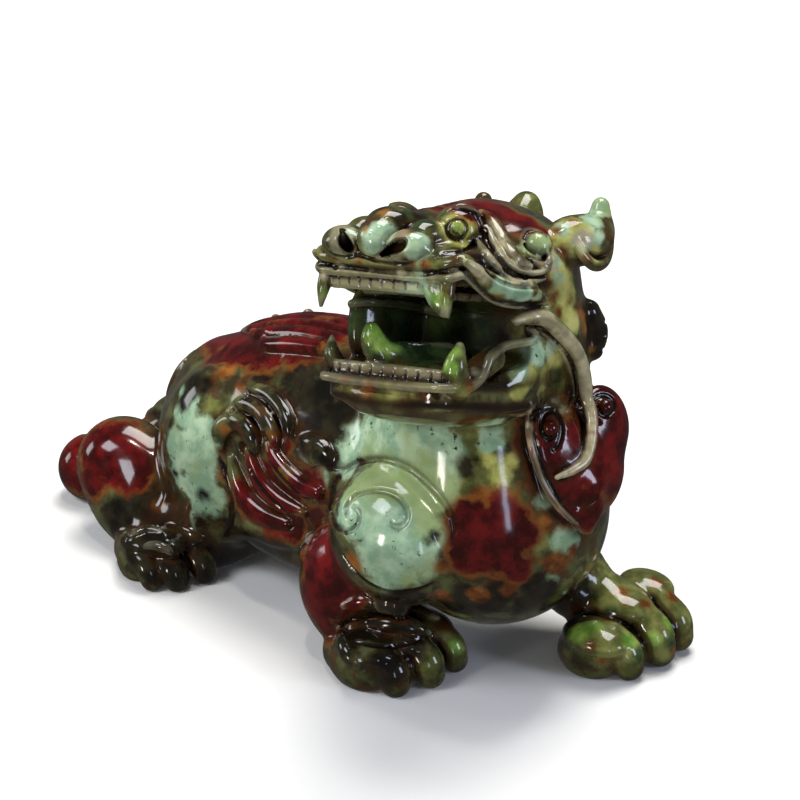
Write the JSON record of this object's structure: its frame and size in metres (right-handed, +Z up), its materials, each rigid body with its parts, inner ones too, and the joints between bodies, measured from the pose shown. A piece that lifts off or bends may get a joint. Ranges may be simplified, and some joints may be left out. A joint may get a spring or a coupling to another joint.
{
  "type": "pixiu figure",
  "caption": "Crouching horned beast carved from one piece of mottled stone, head turned over its right shoulder with an open fanged mouth, resting on its paws.",
  "frame": {"origin": "centre of the figure's outline as seen from above, on the surface it stands on", "axes": "+X the way the body faces, +Y the animal's left side, +Z up"},
  "size_m": [0.2272, 0.1088, 0.1536],
  "materials": {
    "mottled_jade": "polished"
  },
  "bodies": {
    "root": {"pixiu_figure": "mottled_jade"}
  },
  "joints": []
}
